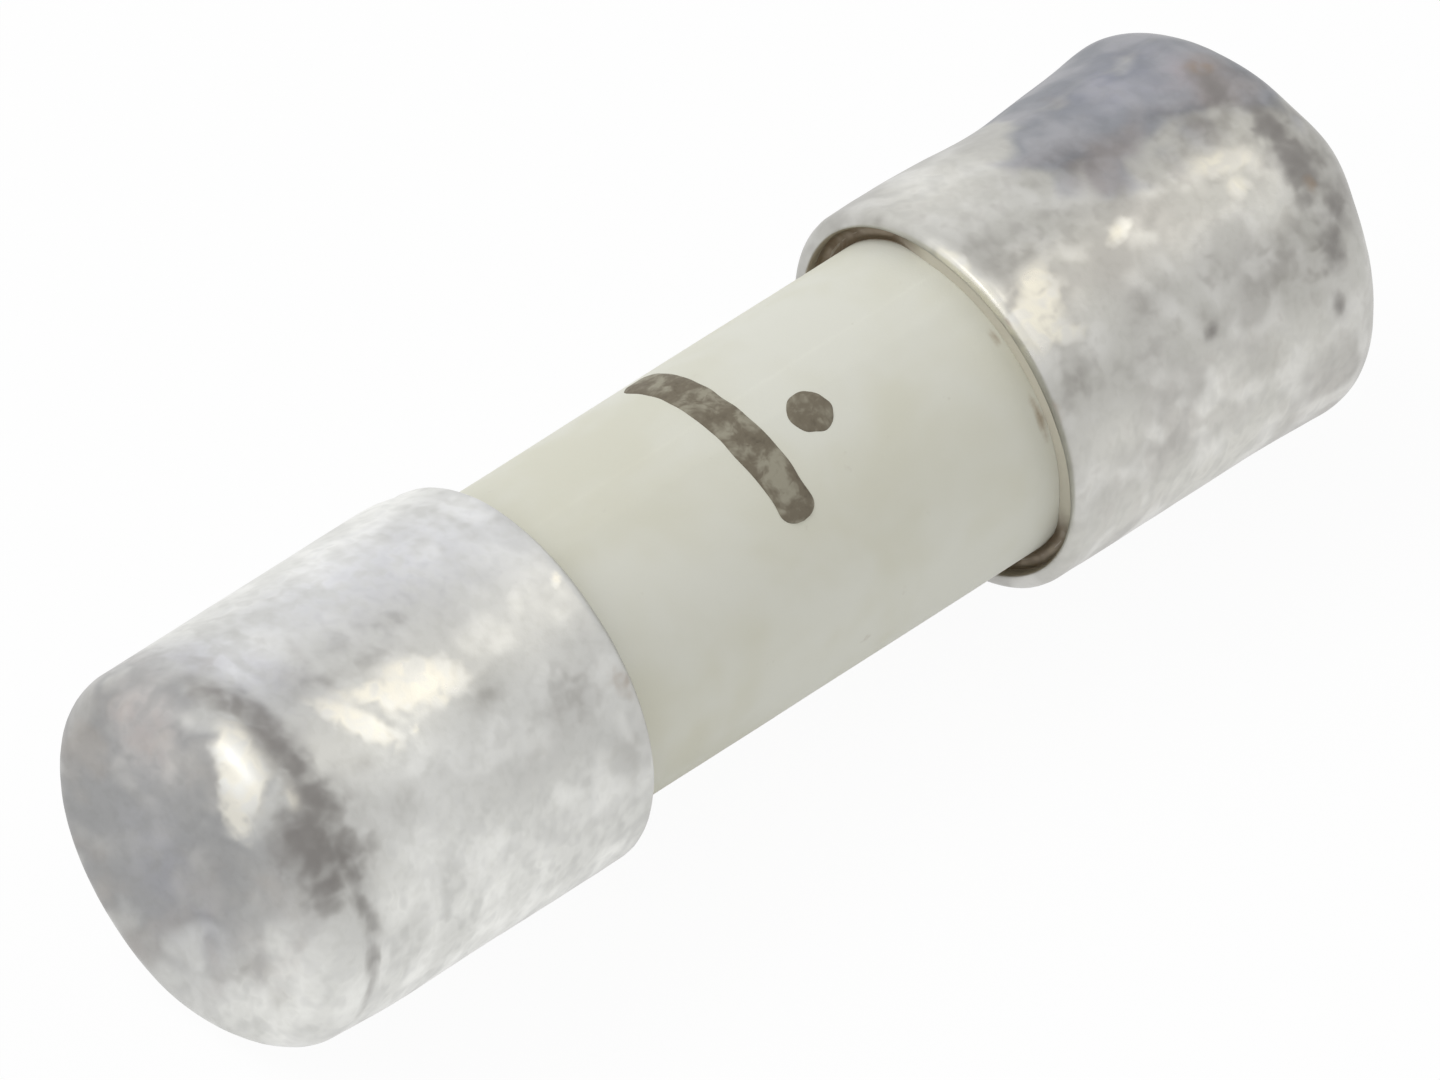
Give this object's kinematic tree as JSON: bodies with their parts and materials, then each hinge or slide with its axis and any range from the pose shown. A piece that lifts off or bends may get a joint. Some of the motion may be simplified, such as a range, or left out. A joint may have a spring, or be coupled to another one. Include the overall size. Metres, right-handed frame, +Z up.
{
  "type": "surface-mount fuse",
  "caption": "Round surface-mount cartridge fuse: an off-white ceramic tube between tinned metal end caps, with a slanting fuse wire soldered inside.",
  "frame": {"origin": "on the board plane that the end caps rest on, under the middle of the fuse", "axes": "+X along the fuse from the left cap to the right cap, +Z up from the board, -Y towards the front"},
  "size_m": [0.01, 0.003, 0.003],
  "materials": {
    "ceramic": "fired, matte, off-white with a faint green cast",
    "tinned_cap": "hot tin dipped, patchy satin with bright flats",
    "solder": "dull tin solder",
    "wire": "silvered",
    "ink": "mottled stamping ink"
  },
  "bodies": {
    "root": {"ceramic_tube": "ceramic", "left_end_cap": "tinned_cap", "right_end_cap": "tinned_cap", "left_solder": "solder", "right_solder": "solder", "fuse_wire": "wire", "printed_mark": "ink"}
  },
  "joints": []
}
